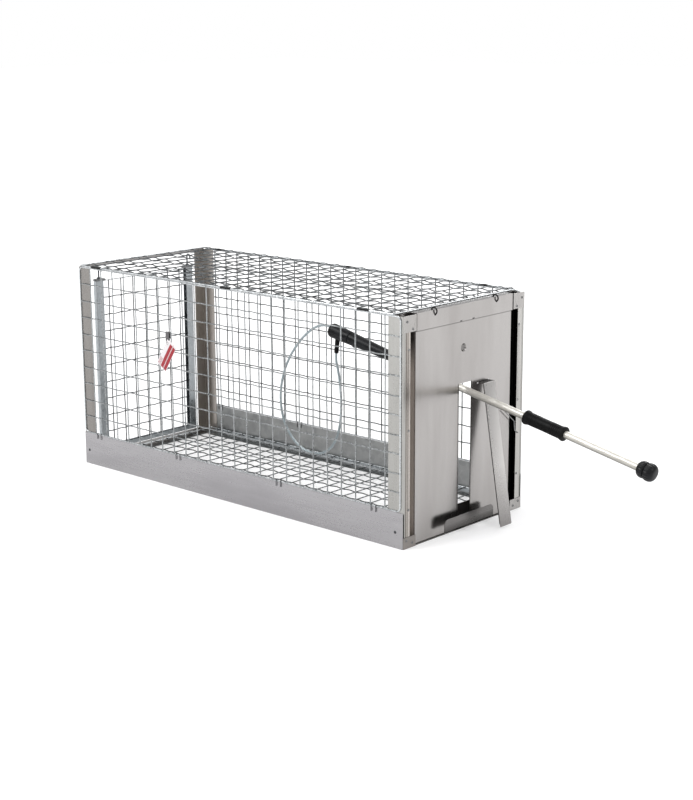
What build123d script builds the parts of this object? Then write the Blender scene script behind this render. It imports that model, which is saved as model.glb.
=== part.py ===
from build123d import *
import math
import os

os.makedirs("parts", exist_ok=True)

# Live catch trap with a catch pole in its door slot. Millimetres, +Z up.
# Origin: on the ground under the door sill, on the centre plane. The door end faces
# +X, the side called "front" faces -Y, and the squeeze panel stands at the far end.

# ---- driving dimensions -------------------------------------------------
LENGTH = 1250.0          # cage, end to end
HEIGHT = 600.0           # cage, ground to roof wires
SHEET = 1.5              # thickness of all folded sheet
WIRE = 3.0               # bar width of the welded mesh
END = 15.0               # X of the door end plane
FAR_END = END - LENGTH   # X of the other end

POST_FACE = 246.0        # outer face of the corner posts, from the centre plane
POST_LEG = 50.0          # leg width of the corner posts
FAR_LEG_EDGE = 210.0     # inner edge of the far posts' end legs
POST_FOOT = SHEET        # the posts stand on the rails' bottom flanges
POST_TOP = 594.0
FRAME_TOP = 596.5        # the roof mesh lies on the cross bars at this height
CROSS_BAR_HALF = 243.0   # half length of the bars between the two sides
CROSS_BAR_LEG = 20.0
FAR_TOP_LEG = 8.0        # the far top bar is a lighter angle

RAIL_HEIGHT = 95.0
RAIL_FLANGE = 20.0
LEDGE_TOP = 20.0         # ledges inside the rails carry the floor mesh
LEDGE_LEG = 14.0

# door end
SEAM = 238.0             # seam between a post and its door guide
LIP = 220.0              # inner edge of the guides' front lips
GUIDE_BACK = END - 28.0  # X of the back of the guides
GUIDE_BACK_LIP = 208.0
DOOR_HALF = 195.0        # half width of the door's face
DOOR_FOOT = 4.0
DOOR_TOP = 597.0
DOOR_FACE = END - 4.5    # outer face of the door below its top band
DOOR_BACK = END - 25.0   # rear plane of the door's side flanges
DOOR_FLANGE = 232.0      # outer edge of the side flanges, inside the guides
BAND_FOOT = 554.0        # the band above this height stands out to the end plane
SLOT_Y = 4.0             # centre of the pole slot
SLOT_WIDTH = 50.0
SLOT_TOP = 389.0
FINGER_DISH = (-4.0, 482.0)            # Y and Z of a dish pressed into the door
SLIT_Y = 79.5            # centre of the slit that the slot cover hooks into
SLIT_Z = 380.0
SLIT_WIDTH = 51.0
SLIT_HEIGHT = 5.0
SILL_BACK = END - 31.0
SILL_TOP = 57.0

# slot cover
COVER_WIDTH = 48.0
COVER_REACH = END + 16.0 # X of the bend at the outer end of its hook
COVER_LENGTH = 381.0
COVER_LEAN = 9.4         # degrees, it stands away from the door at its foot
COVER_THICKNESS = 3.0    # of the long leg

# squeeze panel
PANEL_X = FAR_END + 10.0
PANEL_Y = -5.0
PANEL_DEPTH = 16.0
PANEL_HALF = 190.0
PANEL_CHANNEL = 25.0
PANEL_SILL = 12.0        # height of its bottom channel
PANEL_FOOT = 28.0
PANEL_TOP = 545.0

# catch pole, measured along its axis from where it crosses the door plane
POLE_ORIGIN = Vector(END - 4.0, SLOT_Y, 370.0)
POLE_FALL = 11.8         # degrees, the pole slopes down on its way out
TUBE_RADIUS = 9.6
TUBE_BORE = 7.6
HEAD_TIP = -479.0
HEAD_END = -226.0
HEAD_SOCKET = -250.0     # the tube ends here, inside the head
HEAD_TIP_RADIUS = 20.5
HEAD_END_RADIUS = 12.4
GROOVE_AT = -404.0
GRIP_START = 197.0
GRIP_END = 321.0
GRIP_RADIUS = 16.5
COLLAR_START = 537.0
COLLAR_END = 559.0
KNOB_END = 585.0
PULL_ROD_RADIUS = 5.0
PULL_ROD_START = 300.0
CABLE = 7.0              # diameter of the noose cable
CABLE_EXIT_RISE = 7.0    # the cable leaves the head this far above the axis
SLEEVE_RADIUS = 6.5
SLEEVE_LENGTH = 42.0


# ---- helpers ------------------------------------------------------------
def block(x0, x1, y0, y1, z0, z1):
    """Box between two opposite corners, in any order."""
    middle = Pos((x0 + x1) / 2, (y0 + y1) / 2, (z0 + z1) / 2)
    return middle * Box(abs(x1 - x0), abs(y1 - y0), abs(z1 - z0))


def rod(start, end, radius):
    """Solid cylinder from one point to another."""
    start = Vector(start)
    way = Vector(end) - start
    return Solid.make_cylinder(radius, way.length, Plane(origin=start, z_dir=way))


def bent_rod(points, radius, bend):
    """Round wire along straight runs with the same bend radius at each corner."""
    path = FilletPolyline(*points, radius=bend)
    return sweep(Plane(origin=path @ 0, z_dir=path % 0) * Circle(radius), path=path)


def even_bars(first, last, gaps):
    """Centre lines of evenly spaced bars, both ends included."""
    return [first + (last - first) * k / gaps for k in range(gaps + 1)]


def wire_grid(plane, bars_u, bars_v):
    """Flat welded grid with bars at the given places along both plane axes."""
    def window(u0, u1, v0, v1):
        middle = plane.from_local_coords(((u0 + u1) / 2, (v0 + v1) / 2, 0))
        return Wire.make_rect(abs(u1 - u0), abs(v1 - v0), plane.shift_origin(middle))

    half = WIRE / 2
    outline = window(bars_u[0] - half, bars_u[-1] + half, bars_v[0] - half, bars_v[-1] + half)
    cells = []
    for u0, u1 in zip(bars_u, bars_u[1:]):
        for v0, v1 in zip(bars_v, bars_v[1:]):
            cells.append(window(u0 + half, u1 - half, v0 + half, v1 - half))
    return Solid.extrude(Face(outline, cells), plane.z_dir * WIRE)


def write(shape, node):
    """One STEP file for each named piece."""
    export_step(shape, f"parts/{node}.step")


# ---- bottom rails and posts --------------------------------------------
def rail(side):
    """Folded rail along one side: an upright web and an inward bottom flange."""
    web = block(FAR_END, END, side * POST_FACE, side * (POST_FACE + SHEET), 0, RAIL_HEIGHT)
    flange_edge = POST_FACE - RAIL_FLANGE
    flange = block(FAR_END + 25, END - 33, side * flange_edge, side * POST_FACE, 0, SHEET)
    return web + flange


def far_post(side):
    """L-shaped post at the squeeze panel's end."""
    inner = POST_FACE - SHEET
    leg = block(FAR_END, FAR_END + POST_LEG, side * inner, side * POST_FACE, POST_FOOT, POST_TOP)
    end_leg = block(FAR_END, FAR_END + SHEET, side * FAR_LEG_EDGE, side * inner, POST_FOOT, POST_TOP)
    return leg + end_leg


def door_post(side):
    """Post at the door end: side leg, narrow end face and a return for the guide."""
    inner = POST_FACE - SHEET
    leg = block(END - POST_LEG, END, side * inner, side * POST_FACE, POST_FOOT, POST_TOP)
    face = block(END - SHEET, END, side * SEAM, side * inner, POST_FOOT, POST_TOP)
    back = block(DOOR_BACK, END - SHEET, side * SEAM, side * (SEAM + SHEET),
                 POST_FOOT, POST_TOP)
    return leg + face + back


def door_guide(side):
    """U-shaped guide: front lip, web against the post's return, and back lip."""
    web_inner = SEAM - SHEET
    web = block(GUIDE_BACK, END, side * web_inner, side * SEAM, 3, POST_TOP)
    lip = block(END - SHEET, END, side * LIP, side * web_inner, 3, POST_TOP)
    back = block(GUIDE_BACK, GUIDE_BACK + SHEET, side * GUIDE_BACK_LIP, side * web_inner,
                 3, POST_TOP)
    guide = web + lip + back
    for height in RIVET_HEIGHTS:
        guide -= rod((END - 5, side * RIVET_Y, height), (END + 5, side * RIVET_Y, height), 2.0)
    return guide


RIVET_Y = 225.5
RIVET_HEIGHTS = (100.0, 305.0, 510.0)
LOCK_WIRE_HOLE = (226.0, 214.0)        # Y and Z, in the rear guide's lip

write(rail(-1), "front_rail")
write(rail(1), "rear_rail")
write(far_post(-1), "front_left_post")
write(far_post(1), "rear_left_post")
write(door_post(-1), "front_right_post")
write(door_post(1), "rear_right_post")
write(door_guide(-1), "front_door_guide")
lock_hole = rod((END - 5, *LOCK_WIRE_HOLE), (END + 5, *LOCK_WIRE_HOLE), 1.6)
write(door_guide(1) - lock_hole, "rear_door_guide")


# ---- floor ledges -------------------------------------------------------
LEDGE_SPAN = (FAR_END + 52.0, END - 54.0)      # between the posts


def floor_ledge(side):
    """Angle strip on the inside of a rail that carries the floor mesh's edge."""
    inner = POST_FACE - SHEET
    upright = block(*LEDGE_SPAN, side * inner, side * POST_FACE, LEDGE_TOP - LEDGE_LEG, LEDGE_TOP)
    shelf = block(*LEDGE_SPAN, side * (inner - LEDGE_LEG), side * inner,
                  LEDGE_TOP - SHEET, LEDGE_TOP)
    return upright + shelf


write(floor_ledge(-1), "front_floor_ledge")
write(floor_ledge(1), "rear_floor_ledge")


# ---- cross bars ---------------------------------------------------------
def cross_bar(x_outer, x_way, z_edge, z_way, leg=CROSS_BAR_LEG):
    """Angle bar across the cage; x_way and z_way say which way its legs point."""
    half = CROSS_BAR_HALF
    x_inner = x_outer + x_way * SHEET
    upright = block(x_outer, x_inner, -half, half, z_edge, z_edge + z_way * leg)
    flat = block(x_inner, x_outer + x_way * leg, -half, half,
                 z_edge, z_edge + z_way * SHEET)
    return upright + flat


write(cross_bar(FAR_END + SHEET, 1, FRAME_TOP, -1, FAR_TOP_LEG), "left_top_bar")
write(cross_bar(FAR_END + SHEET, 1, SHEET, 1), "left_bottom_bar")
write(cross_bar(SILL_BACK + SHEET, -1, FRAME_TOP, -1), "door_end_top_bar")

sill_upstand = block(SILL_BACK, SILL_BACK + SHEET, -CROSS_BAR_HALF, CROSS_BAR_HALF, SHEET, SILL_TOP)
sill_tread = block(SILL_BACK, END, -CROSS_BAR_HALF, CROSS_BAR_HALF, 0, SHEET)
write(sill_upstand + sill_tread, "door_sill")


# ---- corner gussets and fasteners --------------------------------------
GUSSET_INNER = 198.0
TOP_GUSSET = (BAND_FOOT, 596.0)        # Z of its lower and upper edges
BASE_GUSSET = (0.0, 30.0)
TOP_SCREWS = ((234.0, 581.0), (212.0, 561.0))
BASE_SCREWS = ((234.0, 21.0), (212.0, 12.0))
SCREW_RADIUS = 2.0


def gusset(side, span, screws):
    """Corner plate over the post and the guide, with two screw holes."""
    plate = block(END, END + SHEET, side * GUSSET_INNER, side * POST_FACE, *span)
    for y, z in screws:
        plate -= rod((END - 5, side * y, z), (END + 5, side * y, z), SCREW_RADIUS)
    return plate


def pan_screw(x, y, z, radius, head_radius):
    """Short screw along X: a domed head outside and a plain shank behind it."""
    shank = rod((x - 1.4, y, z), (x + 0.2, y, z), radius)
    head = rod((x, y, z), (x + 1.6, y, z), head_radius)
    return shank + fillet(head.edges().sort_by(Axis.X)[-1:], 1.0)


for side, side_name in ((-1, "front"), (1, "rear")):
    write(gusset(side, TOP_GUSSET, TOP_SCREWS), f"{side_name}_top_gusset")
    write(gusset(side, BASE_GUSSET, BASE_SCREWS), f"{side_name}_base_gusset")

screws = []
for side in (-1, 1):
    for y, z in TOP_SCREWS + BASE_SCREWS:
        screws.append(pan_screw(END + SHEET, side * y, z, SCREW_RADIUS, 3.6))
write(Compound(children=screws), "gusset_screws")

guide_rivets = []
for side in (-1, 1):
    for height in RIVET_HEIGHTS:
        guide_rivets.append(pan_screw(END, side * RIVET_Y, height, 2.0, 3.4))
write(Compound(children=guide_rivets), "guide_rivets")

rail_rivets = []
for side in (-1, 1):
    for x in (FAR_END + 18, END - 25):
        face = POST_FACE + SHEET
        head = rod((x, side * face, 42), (x, side * (face + 1.6), 42), 3.8)
        rail_rivets.append(head)
write(Compound(children=rail_rivets), "rail_rivets")


# ---- strap pocket -------------------------------------------------------
POCKET_X = END + 16.5
POCKET_HALF = 102.0
POCKET_Z = (15.0, 47.0)
POCKET_CORNER = 14.0
TONGUE_HALF = 19.0

pocket_plate = block(POCKET_X, POCKET_X + SHEET, -POCKET_HALF, POCKET_HALF, *POCKET_Z)
top_corners = pocket_plate.edges().filter_by(Axis.X).sort_by(Axis.Z)[-2:]
pocket_plate = fillet(top_corners, POCKET_CORNER)
pocket_tongue = block(SILL_BACK + SHEET, POCKET_X, SLOT_Y - TONGUE_HALF, SLOT_Y + TONGUE_HALF,
                      POCKET_Z[0], POCKET_Z[0] + SHEET)
write(pocket_plate + pocket_tongue, "cover_pocket")


# ---- wire mesh panels ---------------------------------------------------
SIDE_BARS_X = even_bars(FAR_END + 5.0, END - 8.5, 25)
SIDE_BARS_Z = even_bars(97.5, 594.0, 10)
ROOF_END = END - 30.0                  # the roof stops short, behind the sliding door
ROOF_HALF = 246.0
FLOOR_BARS_X = even_bars(FAR_END + 28.0, END - 35.0, 24)
FLOOR_HALF = 239.0


def side_mesh(side):
    """Side panel of the cage, lying on the outside of the posts above the rail."""
    near = POST_FACE if side > 0 else -POST_FACE - WIRE
    plane = Plane(origin=(0, near, 0), x_dir=(-1, 0, 0), z_dir=(0, 1, 0))
    return wire_grid(plane, [-x for x in reversed(SIDE_BARS_X)], SIDE_BARS_Z)


def flat_mesh(bars_x, half, height):
    """Level panel whose lower side is at the given height."""
    return wire_grid(Plane.XY.offset(height), bars_x, even_bars(-half, half, 10))


write(side_mesh(-1), "front_mesh")
write(side_mesh(1), "rear_mesh")
roof_bars_x = [x for x in SIDE_BARS_X if x < ROOF_END - 10] + [ROOF_END]
write(flat_mesh(roof_bars_x, ROOF_HALF, FRAME_TOP), "roof_mesh")
write(flat_mesh(FLOOR_BARS_X, FLOOR_HALF, LEDGE_TOP), "floor_mesh")


# ---- clips that tie the meshes -----------------------------------------
CLIP_LENGTH = 40.0
CLIP_GAP = 0.4           # air between a clip and the roof's border bar
CLIP_SHEET = 0.6
CLIP_FOOT = 596.0
CLIP_CELLS = (1, 12, 22)               # mesh columns that hold a clip


def roof_clips(side):
    """Channel clips snapped down over the roof mesh's border bar."""
    bar_half = WIRE / 2 + CLIP_GAP
    outer_half = bar_half + CLIP_SHEET
    bar_top = FRAME_TOP + WIRE + CLIP_GAP
    clips = []
    for cell in CLIP_CELLS:
        x = (SIDE_BARS_X[cell] + SIDE_BARS_X[cell + 1]) / 2
        span = (x - CLIP_LENGTH / 2, x + CLIP_LENGTH / 2)
        near, far = side * ROOF_HALF - outer_half, side * ROOF_HALF + outer_half
        clip = block(*span, near, far, CLIP_FOOT, bar_top + CLIP_SHEET)
        clip -= block(*span, near + CLIP_SHEET, far - CLIP_SHEET, CLIP_FOOT, bar_top)
        clips.append(clip)
    return Compound(children=clips)


TIE_PAIRS = (-1167.0, -819.0, -420.0, -81.0)
TIE_SPREAD = 8.0
TIE_WIDTH = 2.0
TIE_SHEET = 1.2
TIE_FOOT = 83.0


def rail_ties(side):
    """Pairs of bent strips that hold a side panel's bottom bar down on the rail."""
    inner = POST_FACE - TIE_SHEET
    outer = POST_FACE + WIRE + TIE_SHEET
    wire_top = RAIL_HEIGHT + 1 + WIRE
    ties = []
    for pair in TIE_PAIRS:
        for x in (pair - TIE_SPREAD, pair + TIE_SPREAD):
            span = (x - TIE_WIDTH / 2, x + TIE_WIDTH / 2)
            crown = block(*span, side * inner, side * outer, wire_top, wire_top + TIE_SHEET)
            inner_leg = block(*span, side * inner, side * POST_FACE, TIE_FOOT, wire_top)
            outer_leg = block(*span, side * (outer - TIE_SHEET), side * outer, TIE_FOOT, wire_top)
            ties.append(crown + inner_leg + outer_leg)
    return Compound(children=ties)


for side, side_name in ((-1, "front"), (1, "rear")):
    write(roof_clips(side), f"{side_name}_roof_clips")
    write(rail_ties(side), f"{side_name}_rail_ties")


# ---- tag on the front mesh ---------------------------------------------
TAG_CENTRE = (-851.0, 382.0)           # X and Z
TAG_SIZE = (42.0, 88.0)
TAG_TILT = 33.0
TAG_Y = -253.0
TAG_HOLE = (-846.0, 417.0)             # X and Z
STRAP_HALF = 7.5
STRAP_FOOT = 411.0
STRAP_TOP = 449.5
STRAP_BACK = (-245.4, -244.6)          # Y of the strap's short end behind the mesh

tag = Pos(TAG_CENTRE[0], TAG_Y, TAG_CENTRE[1]) * Rot(0, TAG_TILT, 0) * Box(TAG_SIZE[0], 0.8, TAG_SIZE[1])
tag_hole_x, tag_hole_z = TAG_HOLE
write(tag - rod((tag_hole_x, TAG_Y - 5, tag_hole_z), (tag_hole_x, TAG_Y + 5, tag_hole_z), 3.0), "tag_card")

# the strap is a flat loop from behind the tag over one level bar of the front mesh
strap_span = (tag_hole_x - STRAP_HALF, tag_hole_x + STRAP_HALF)
strap_front = block(*strap_span, TAG_Y + 0.6, TAG_Y + 1.4, STRAP_FOOT, STRAP_TOP)
strap_top = block(*strap_span, TAG_Y + 0.6, STRAP_BACK[1], STRAP_TOP - 0.8, STRAP_TOP)
strap_back = block(*strap_span, *STRAP_BACK, 430, STRAP_TOP)
write(strap_front + strap_top + strap_back, "tag_strap")


# ---- lock wire on the rear guide ---------------------------------------
lock_wire_y, lock_wire_z = LOCK_WIRE_HOLE
lock_route = [(END - 4, lock_wire_y, lock_wire_z), (END + 4, lock_wire_y, lock_wire_z),
              (END + 4, 209, 224), (END + 4, 206, 250), (END + 4, 165, 284)]
write(bent_rod(lock_route, 1.2, 2.5), "door_lock_wire")


# ---- sliding door -------------------------------------------------------
RING_Y = 125.0
RING_CENTRE = (END - 4.0, 593.0)       # X and Z
RING_RADIUS = 9.0
RING_WIRE = 1.9
RING_HOLE = 3.2
NOTCH_WIDTH = 8.0
NOTCH_HEIGHT = 2.0
DISH_RADIUS = 11.0
DISH_DEPTH = 4.0

door_edge = DOOR_HALF - SHEET
door = block(DOOR_FACE - SHEET, DOOR_FACE, -DOOR_HALF, DOOR_HALF, DOOR_FOOT, BAND_FOOT)
door += block(DOOR_FACE - SHEET, END, -DOOR_HALF, DOOR_HALF, BAND_FOOT - SHEET, BAND_FOOT)
door += block(END - SHEET, END, -DOOR_HALF, DOOR_HALF, BAND_FOOT - SHEET, DOOR_TOP)
door += block(DOOR_BACK, END, -DOOR_HALF, DOOR_HALF, DOOR_TOP - SHEET, DOOR_TOP)
for side in (-1, 1):
    door += block(DOOR_BACK, DOOR_FACE, side * door_edge, side * DOOR_HALF, DOOR_FOOT, DOOR_TOP)
    door += block(DOOR_FACE, END, side * door_edge, side * DOOR_HALF, BAND_FOOT - SHEET, DOOR_TOP)
    door += block(DOOR_BACK, DOOR_BACK + SHEET, side * door_edge, side * DOOR_FLANGE,
                  DOOR_FOOT, DOOR_TOP)
slot_half = SLOT_WIDTH / 2
slot_edges = (SLOT_Y - slot_half, SLOT_Y + slot_half)
door -= block(DOOR_BACK + 5, END, *slot_edges, 0, SLOT_TOP)
dish_y, dish_z = FINGER_DISH
dish_profile = [(0, 0), (0, DISH_RADIUS + SHEET), (-SHEET, DISH_RADIUS + SHEET),
                (-DISH_DEPTH - SHEET, DISH_RADIUS - 2), (-DISH_DEPTH - SHEET, 0)]
hollow_profile = [(1, 0), (1, DISH_RADIUS), (0, DISH_RADIUS), (-DISH_DEPTH, DISH_RADIUS - 4),
                  (-DISH_DEPTH, 0)]


def dish_solid(profile):
    """Solid turned round the dish's axis from (distance outwards, radius) points."""
    points = [(DOOR_FACE + out, dish_y, dish_z + radius) for out, radius in profile]
    return revolve(Face(Wire.make_polygon(points)), Axis((0, dish_y, dish_z), (1, 0, 0)), 360)


door = door + dish_solid(dish_profile) - dish_solid(hollow_profile)
door -= block(DOOR_BACK + 5, END, SLIT_Y - SLIT_WIDTH / 2, SLIT_Y + SLIT_WIDTH / 2,
              SLIT_Z - SLIT_HEIGHT / 2, SLIT_Z + SLIT_HEIGHT / 2)
for edge in slot_edges:
    door -= block(DOOR_FACE, END + 1, edge - NOTCH_WIDTH / 2, edge + NOTCH_WIDTH / 2,
                  BAND_FOOT - SHEET - 1, BAND_FOOT + NOTCH_HEIGHT)
ring_reach = math.sqrt(RING_RADIUS ** 2 - 3.25 ** 2)
rings = []
for y in (-RING_Y, RING_Y):
    ring_x, ring_z = RING_CENTRE
    door -= rod((END - 5, y, ring_z - ring_reach), (END + 5, y, ring_z - ring_reach), RING_HOLE)
    door -= rod((ring_x - ring_reach, y, DOOR_TOP - 5), (ring_x - ring_reach, y, DOOR_TOP + 5), RING_HOLE)
    rings.append(Pos(ring_x, y, ring_z) * Rot(90, 0, 0) * Torus(RING_RADIUS, RING_WIRE))
write(door, "door_panel")
write(Compound(children=rings), "door_lift_rings")


# ---- slot cover ---------------------------------------------------------
HOOK_GAP = 0.3
HOOK_RISE = 15.0

hook_back = DOOR_FACE - SHEET - HOOK_GAP
cover_span = (SLIT_Y - COVER_WIDTH / 2, SLIT_Y + COVER_WIDTH / 2)
half_sheet = SHEET / 2
cover = block(hook_back - SHEET, COVER_REACH, *cover_span, SLIT_Z - half_sheet, SLIT_Z + half_sheet)
cover += block(hook_back - SHEET, hook_back, *cover_span, SLIT_Z - half_sheet, SLIT_Z + HOOK_RISE)
leg_place = Pos(COVER_REACH - COVER_THICKNESS / 2, SLIT_Y, SLIT_Z) * Rot(0, -COVER_LEAN, 0)
cover += leg_place * Pos(0, 0, -COVER_LENGTH / 2) * Box(COVER_THICKNESS, COVER_WIDTH, COVER_LENGTH)
write(cover, "slot_cover")


# ---- squeeze panel ------------------------------------------------------
PANEL_BACK = PANEL_X - PANEL_DEPTH / 2
PANEL_FACE = PANEL_X + PANEL_DEPTH / 2
CHANNEL_EDGE = PANEL_HALF - PANEL_CHANNEL
CAP_HEIGHT = 6.0
HOOK_ROD_TOP = 588.0
HOOK_ROD_Y = 176.0        # from the panel's middle
CAP_REACH = 36.0
CAP_LIP = 1.0            # the caps stand out this far beyond the channels


def panel_channel(side):
    """Upright channel that opens towards the middle of the panel."""
    outer = PANEL_Y + side * PANEL_HALF
    inner = PANEL_Y + side * CHANNEL_EDGE
    channel = block(PANEL_BACK, PANEL_FACE, outer, outer - side * SHEET, PANEL_FOOT, PANEL_TOP)
    for x0, x1 in ((PANEL_BACK, PANEL_BACK + SHEET), (PANEL_FACE - SHEET, PANEL_FACE)):
        channel += block(x0, x1, outer, inner, PANEL_FOOT, PANEL_TOP)
    return channel


write(panel_channel(-1), "squeeze_front_channel")
write(panel_channel(1), "squeeze_rear_channel")

bottom_span = (PANEL_Y - CHANNEL_EDGE, PANEL_Y + CHANNEL_EDGE)
bottom_channel = block(PANEL_BACK, PANEL_FACE, *bottom_span, PANEL_FOOT, PANEL_FOOT + SHEET)
for x0, x1 in ((PANEL_BACK, PANEL_BACK + SHEET), (PANEL_FACE - SHEET, PANEL_FACE)):
    bottom_channel += block(x0, x1, *bottom_span, PANEL_FOOT, PANEL_FOOT + PANEL_SILL)
write(bottom_channel, "squeeze_bottom_channel")

# the mesh's outer bars lie in the bottoms of the channels
panel_mesh_half = PANEL_HALF - SHEET - WIRE / 2
panel_bars_y = even_bars(PANEL_Y - panel_mesh_half, PANEL_Y + panel_mesh_half, 8)
panel_bars_z = even_bars(PANEL_FOOT + SHEET + WIRE / 2, PANEL_TOP - WIRE / 2, 10)
panel_plane = Plane(origin=(PANEL_X - WIRE / 2, 0, 0), x_dir=(0, 1, 0), z_dir=(1, 0, 0))
write(wire_grid(panel_plane, panel_bars_y, panel_bars_z), "squeeze_mesh")

caps = []
hook_rods = []
for side in (-1, 1):
    cap_outer = PANEL_Y + side * (PANEL_HALF + 2)
    caps.append(block(PANEL_BACK - CAP_LIP, PANEL_FACE + CAP_LIP, cap_outer, cap_outer - side * CAP_REACH,
                      PANEL_TOP, PANEL_TOP + CAP_HEIGHT))
    rod_y = PANEL_Y + side * HOOK_ROD_Y
    hook_rods.append(rod((PANEL_X, rod_y, PANEL_TOP + CAP_HEIGHT), (PANEL_X, rod_y, HOOK_ROD_TOP), 2.5))
write(Compound(children=caps), "squeeze_top_caps")
write(Compound(children=hook_rods), "squeeze_hook_rods")


# ---- catch pole ---------------------------------------------------------
fall = math.radians(POLE_FALL)
POLE_WAY = Vector(math.cos(fall), 0, -math.sin(fall))
POLE_RISE = Vector(math.sin(fall), 0, math.cos(fall))


def on_axis(distance, rise=0.0):
    """Point at a distance along the pole, and a rise square to it."""
    return POLE_ORIGIN + POLE_WAY * distance + POLE_RISE * rise


def turned(profile):
    """Solid turned round the pole's axis from (distance, radius) points."""
    points = [on_axis(distance, radius) for distance, radius in profile]
    face = Face(Wire.make_polygon(points))
    return revolve(face, Axis(POLE_ORIGIN, POLE_WAY), 360)


write(turned([(HEAD_SOCKET, TUBE_BORE), (HEAD_SOCKET, TUBE_RADIUS), (COLLAR_START + 8, TUBE_RADIUS),
              (COLLAR_START + 8, TUBE_BORE)]), "pole_tube")

head_taper = (HEAD_TIP_RADIUS - HEAD_END_RADIUS) / (HEAD_END - HEAD_TIP)


def head_radius(distance):
    """Radius of the tapered head at a distance along the pole."""
    return HEAD_TIP_RADIUS - head_taper * (distance - HEAD_TIP)


head = turned([(HEAD_TIP, 0), (HEAD_TIP, HEAD_TIP_RADIUS - 5), (HEAD_TIP + 1.5, HEAD_TIP_RADIUS - 1.6),
               (HEAD_TIP + 5, head_radius(HEAD_TIP + 5)),
               (GROOVE_AT - 2, head_radius(GROOVE_AT - 2)), (GROOVE_AT - 2, head_radius(GROOVE_AT) - 1.5),
               (GROOVE_AT + 2, head_radius(GROOVE_AT) - 1.5), (GROOVE_AT + 2, head_radius(GROOVE_AT + 2)),
               (HEAD_END, HEAD_END_RADIUS), (HEAD_END, TUBE_RADIUS), (HEAD_SOCKET, TUBE_RADIUS),
               (HEAD_SOCKET, 0)])

# sleeve under the head: the fixed end of the noose cable is crimped in it
sleeve_foot = Vector(-440, SLOT_Y, 405)
sleeve_way = Vector(0.124, 0, 0.992).normalized()
sleeve = Solid.make_cylinder(SLEEVE_RADIUS, SLEEVE_LENGTH, Plane(origin=sleeve_foot, z_dir=sleeve_way))
clamp_screw_at = GROOVE_AT + 16
clamp_foot = on_axis(clamp_screw_at, -head_radius(clamp_screw_at) - 3)
clamp_screw = rod(clamp_foot, on_axis(clamp_screw_at, -8), 4.0)
write(head - sleeve - clamp_screw, "snare_head")
write(sleeve, "cable_sleeve")
write(clamp_screw, "head_clamp_screw")

grip_profile = [(GRIP_START, TUBE_RADIUS), (GRIP_START, 17.5), (GRIP_START + 3, 19.0),
                (GRIP_START + 9, 18.4), (GRIP_START + 14, GRIP_RADIUS),
                (GRIP_END - 14, GRIP_RADIUS), (GRIP_END - 8, 18.4), (GRIP_END - 3, 19.0),
                (GRIP_END, 17.5), (GRIP_END, TUBE_RADIUS)]
write(turned(grip_profile), "pole_grip")

collar_profile = [(COLLAR_START, TUBE_RADIUS), (COLLAR_START, 12.0), (COLLAR_START + 3, 17.0),
                  (COLLAR_START + 9, 20.5), (COLLAR_START + 15, 21.5), (COLLAR_END, 19.0),
                  (COLLAR_END, PULL_ROD_RADIUS + 0.4), (COLLAR_START + 8, PULL_ROD_RADIUS + 0.4),
                  (COLLAR_START + 8, TUBE_RADIUS)]
write(turned(collar_profile), "pole_end_collar")

KNOB_START = COLLAR_END + 0.5
knob_profile = [(KNOB_START, PULL_ROD_RADIUS), (KNOB_START, 19.0), (KNOB_START + 4, 22.0),
                (KNOB_START + 14, 22.5), (KNOB_END - 3, 18.0), (KNOB_END, 10.0), (KNOB_END, 0),
                (KNOB_START + 12, 0), (KNOB_START + 12, PULL_ROD_RADIUS)]
write(turned(knob_profile), "pull_knob")
write(rod(on_axis(PULL_ROD_START), on_axis(KNOB_START + 12), PULL_ROD_RADIUS), "pull_rod")


# ---- noose cable --------------------------------------------------------
# It leaves the tip of the head, hangs in one loop and ends in the sleeve.
cable_exit = on_axis(HEAD_TIP, CABLE_EXIT_RISE)
first_point = on_axis(HEAD_TIP - 20, CABLE_EXIT_RISE)
last_point = sleeve_foot - sleeve_way * 20
LOOP = [(-514, 471), (-553, 445), (-588, 411), (-619, 371), (-644, 322), (-658, 268),
        (-657, 214), (-639, 164), (-605, 125), (-562, 104), (-514, 102), (-470, 122),
        (-440, 160), (-426, 207), (-422, 258), (-425, 309), (-433, 356)]
route = [cable_exit, first_point]
for x, z in LOOP:
    route.append(Vector(x, SLOT_Y, z))
route += [last_point, sleeve_foot]


def corner_radii(points):
    """Largest arcs that the runs of a route allow, one for each inner point."""
    radii = []
    for before, here, after in zip(points, points[1:], points[2:]):
        turn = math.radians((here - before).get_angle(after - here))
        shorter = min((here - before).length, (after - here).length)
        radii.append(0.45 * shorter / math.tan(turn / 2))
    return radii


cable_radii = corner_radii(route)
cable_path = FilletPolyline(*route, radius=cable_radii)
cable = sweep(Plane(origin=cable_path @ 0, z_dir=cable_path % 0) * Circle(CABLE / 2), path=cable_path)
write(cable, "snare_cable")
print("cable radii", [round(radius) for radius in cable_radii])
print("cable runs", [round((b - a).length) for a, b in zip(route, route[1:])])
section = math.pi * CABLE ** 2 / 4
print("cable length", round(cable_path.length, 1), "volume over section", round(cable.volume / section, 1))
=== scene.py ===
import math
import random

import bpy
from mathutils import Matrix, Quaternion, Vector


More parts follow.
